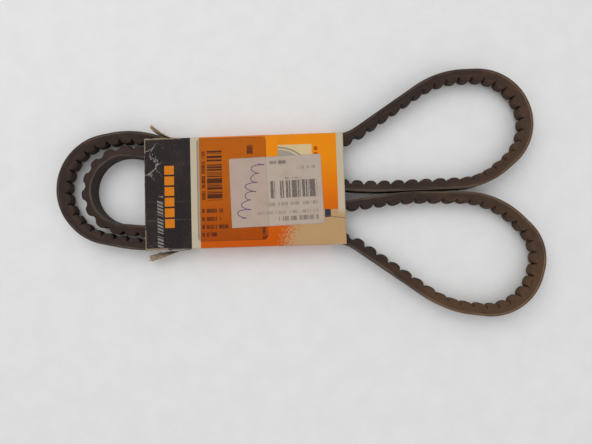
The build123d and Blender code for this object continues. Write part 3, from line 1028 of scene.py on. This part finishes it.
def label_paper():
    paper = Finish("label_paper")
    centre = (label_low + label_high) / 2
    x, y = paper.axes("XY")
    dx, dy = x - centre.x / MM, y - centre.y / MM
    along = dx * math.cos(LABEL_TURN) + dy * math.sin(LABEL_TURN)
    up = dy * math.cos(LABEL_TURN) - dx * math.sin(LABEL_TURN)
    x, y = along + LABEL_LENGTH / 2, up + LABEL_HEIGHT / 2
    ink = Stencil(paper, x, y)
    at = paper.point(x, y, 0.0)
    blot = paper.noise(at, 0.09, 4.0, 0.6)
    grit = paper.noise(at, 1.4, 4.0, 0.65)

    over_film = x.below(26.0)
    plain = paper.mix(over_film, (0.47, 0.385, 0.315), (0.455, 0.345, 0.285))
    plain = paper.mix(blot.ramp(0.4, 0.75) * 0.5, plain, (0.38, 0.285, 0.22))
    plain = paper.mix((x - FILM_RIDGE).abs().ramp(0.5, 0.1) * 0.35, plain, (0.28, 0.21, 0.16))
    speck = grit.above(0.70) * blot.above(0.5)
    plain = paper.mix(speck * 0.35, plain, (0.16, 0.115, 0.09))

    wobble = paper.noise(paper.point(x * 0.5, y * 0.35, 0.0), 1.0, 2.0, 0.5)
    code_x = Stencil(paper, x + (wobble - 0.5) * 0.8, y)
    faded = grit.ramp(0.68, 0.45) * 0.6 + 0.4
    dark = code_x.bars((28.6, 19.4, 61.6, 31.8), "x", 0.52, 11.0, 0.56) * faded
    for box, letter, seed, share, strength in LABEL_ROWS:
        dark = dark.most(ink.words(box, "x", letter, seed, share) * strength)
    colour = paper.mix(dark * 0.85, plain, (0.045, 0.035, 0.036))
    # Painted shade: a thin dark rim along every edge of the label.
    inset = x.least(y).least(LABEL_LENGTH - x).least(LABEL_HEIGHT - y)
    colour = paper.mix(inset.ramp(0.5, 0.05) * 0.5, colour, (0.30, 0.22, 0.16))
    height = blot * 1.2 + grit * 0.15 - (x - FILM_RIDGE).abs().ramp(0.6, 0.0) * 0.4
    rough = 0.52 + grit * 0.2
    return paper.finish(colour, rough, height, strength=0.35, distance=0.35, shine=0.3)


dress("price_label", label_paper())
print("paper label dressed")

# %% [markdown]
# ## Pen scribble
# Somebody has written on the label. A loose looping line stands for it, made as a smooth curve
# with a thin round bevel, turned into a mesh and pressed flat onto the paper.

# %% Pen scribble
PEN_WIDTH = 0.62 * MM
PEN_START, PEN_END = (81.5, 60.0), (68.5, 19.0)
PEN_WAVES = 6.5
PEN_POINTS = 60
PEN_FLATNESS = 0.08


def pen_points():
    start, end = Vector(PEN_START), Vector(PEN_END)
    ahead = (end - start).normalized()
    aside = Vector((-ahead.y, ahead.x))
    points = []
    for k in range(PEN_POINTS):
        t = k / (PEN_POINTS - 1)
        turn = 2 * math.pi * PEN_WAVES * t
        reach = 3.4 + 1.3 * math.sin(5.1 * t * math.pi + 0.8)
        loop = aside * reach * math.sin(turn) + ahead * 1.5 * math.cos(turn + 0.6)
        points.append(start.lerp(end, t) + loop)
    return points


def pen_line():
    data = bpy.data.curves.new("pen", "CURVE")
    data.dimensions = "3D"
    data.bevel_depth = PEN_WIDTH / 2
    data.bevel_resolution = 1
    data.use_fill_caps = True
    spline = data.splines.new("NURBS")
    places = pen_points()
    spline.points.add(len(places) - 1)
    for point, place in zip(spline.points, places):
        point.co = (LEFT_MOUTH + place.x * MM, LOW_EDGE + place.y * MM, 0.0, 1.0)
    spline.order_u = 3
    spline.use_endpoint_u = True
    spline.resolution_u = 3
    holder = put("pen", data)
    mesh = evaluated_mesh(holder)
    bpy.data.objects.remove(holder)
    for vert in mesh.vertices:
        vert.co.z = label_high.z + vert.co.z * PEN_FLATNESS
    return put("pen_scribble", mesh)


def pen_ink():
    ink = Finish("pen_ink")
    x, y = ink.axes("XY")
    drag = ink.noise(ink.point(x, y, 0.0), 1.1, 3.0, 0.6)
    colour = ink.mix(drag.ramp(0.35, 0.7), (0.075, 0.045, 0.125), (0.17, 0.12, 0.21))
    return ink.finish(colour, 0.45 + drag * 0.2)


scribble = pen_line()
scribble.data.materials.clear()
scribble.data.materials.append(pen_ink())
outward(scribble)
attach(scribble, "sleeve")
print("scribble:", len(scribble.data.polygons), "faces")

# %% [markdown]
# ## Torn strips
# Two pieces of side wall curl away from the burst mouth. Torn card is a bundle of grey-brown
# plies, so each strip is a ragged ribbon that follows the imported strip's curl, starts upright at
# its crease, twists as it narrows and ends in torn tongues.

# %% Torn ribbons
RIBBON_STEPS = 42
RIBBON_ACROSS = 8
TIP_REACH = 1.12
TORN_CARD = 0.5 * MM


def bezier(a, b, c, t):
    return a.lerp(b, t).lerp(b.lerp(c, t), t)


def torn_ribbon(name, node, body, bend, twist, tip_width, seed):
    """A ragged ribbon in place of a packed strip; bend places its control point in its box."""
    low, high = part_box(node)
    up = node.startswith("upper")
    root = Vector((high.x, low.y if up else high.y))
    tip = root + (Vector((low.x, high.y if up else low.y)) - root) * TIP_REACH
    middle = Vector((low.x + bend[0] * (high.x - low.x), root.y + bend[1] * (tip.y - root.y)))
    height = (low.z + high.z) / 2
    shape = bmesh.new()
    grid = []
    for i in range(RIBBON_STEPS + 1):
        t = i / RIBBON_STEPS
        spot = bezier(root, middle, tip, t)
        after, before = min(1, t + 0.02), max(0, t - 0.02)
        ahead = bezier(root, middle, tip, after) - bezier(root, middle, tip, before)
        ahead.normalize()
        aside = Vector((-ahead.y, ahead.x)) * (-1 if up else 1)
        tilt = math.radians(twist) * smooth(0.25, 0.95, t)
        full = (high.z - low.z) * (1 - t) ** 1.25 + tip_width * t
        row = []
        for j in range(RIBBON_ACROSS + 1):
            share = j / RIBBON_ACROSS - 0.5
            fray = wander(t * 9.0, j * 0.8 + seed, 0.0, 1.0)
            rim = abs(share) * 2
            nibble = wander(t * 14.0, seed + 3.0 * (share > 0), 0.0, 1.0)
            width = full * share * (1 + 0.30 * rim * nibble)
            off = 0.35 * MM * fray * rim * t
            z = height + width * math.cos(tilt)
            side = width * math.sin(tilt) + off
            row.append(shape.verts.new((spot.x + aside.x * side, spot.y + aside.y * side, z)))
        grid.append(row)
    for i in range(RIBBON_STEPS):
        for j in range(RIBBON_ACROSS):
            # The end splits into ragged tongues.
            ragged = wander(j * 1.7, seed, 1.0, 1.0) * 0.5 + 0.5
            if i / RIBBON_STEPS > 0.86 + 0.14 * ragged:
                continue
            shape.faces.new([grid[i][j], grid[i + 1][j], grid[i + 1][j + 1], grid[i][j + 1]])
    settle(shape)
    made = put_sheet(name, shape, TORN_CARD, 0.0)
    made.data.materials.append(torn_card)
    shade(made, 60)
    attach(made, body)
    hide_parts(node)
    print(name, len(made.data.polygons), "faces")


def torn_fibre():
    card = Finish("torn_card")
    x, y, z = card.axes()
    plies = card.noise(card.point(x * 0.4, y * 0.4, z * 3.0), 1.0, 4.0, 0.65)
    fuzz = card.noise(card.point(x, y, z), 3.0, 4.0, 0.7)
    colour = card.mix(plies.ramp(0.35, 0.65), (0.27, 0.19, 0.12), (0.60, 0.46, 0.32))
    colour = card.mix(fuzz.ramp(0.5, 0.7) * 0.5, colour, (0.52, 0.44, 0.35))
    rough, bump = 0.8 + fuzz * 0.15, plies + fuzz * 0.6
    return card.finish(colour, rough, bump, strength=0.7, distance=0.4, shine=0.2)


torn_card = torn_fibre()
torn_ribbon("upper_torn_curl", "upper_torn_strip", "upper_strip", (0.22, 0.22), 50, 2.8 * MM, 4.0)
torn_ribbon("lower_torn_curl", "lower_torn_strip", "lower_strip", (0.45, 0.35), 66, 4.4 * MM, 9.0)

# %% [markdown]
# ## Inside pieces
# The tension cords run inside the rubber, and the glue flap and its glue lie under the front
# panel. They show only when the pieces are taken apart, and still get a finish each: twisted tan
# cord, bare card, and clear yellow glue.


# %% Inside pieces
def twisted_cord():
    cord = Finish("tension_cord")
    x, y, z = cord.axes()
    lay = ((x + y) * 3.1 + z * 7.0).sin()
    fuzz = cord.noise(cord.point(x, y, z), 2.5, 4.0, 0.6)
    colour = cord.mix((lay * 0.5 + 0.5) * 0.7 + fuzz * 0.3, (0.16, 0.10, 0.055), (0.42, 0.30, 0.18))
    rough, bump = 0.62 + fuzz * 0.2, lay + fuzz * 0.4
    return cord.finish(colour, rough, bump, strength=0.6, distance=0.15)


def bare_card():
    card = Finish("plain_card")
    x, y, z = card.axes()
    blot = card.noise(card.point(x, y, z), 0.3, 4.0, 0.6)
    grain = card.noise(card.point(x * 0.6, y * 3.0, z), 1.0, 4.0, 0.65)
    colour = card.mix(blot * 0.6 + grain * 0.4, (0.28, 0.21, 0.14), (0.45, 0.36, 0.26))
    return card.finish(colour, 0.78 + grain * 0.15, grain, strength=0.4, distance=0.15)


def dry_glue():
    glue = Finish("dry_glue")
    x, y = glue.axes("XY")
    ripple = glue.noise(glue.point(x, y, 0.0), 0.8, 3.0, 0.55)
    colour = glue.mix(ripple, (0.46, 0.34, 0.17), (0.70, 0.60, 0.40))
    return glue.finish(colour, 0.25 + ripple * 0.2, ripple, strength=0.5, distance=0.1)


cord_material = twisted_cord()
cords = [name for name in nodes if name.startswith("tension_cord")]
for name in cords:
    dress(name, cord_material)
dress("glue_flap", bare_card())
dress("glue_line", dry_glue())
print(len(cords), "cords, a flap and its glue dressed")
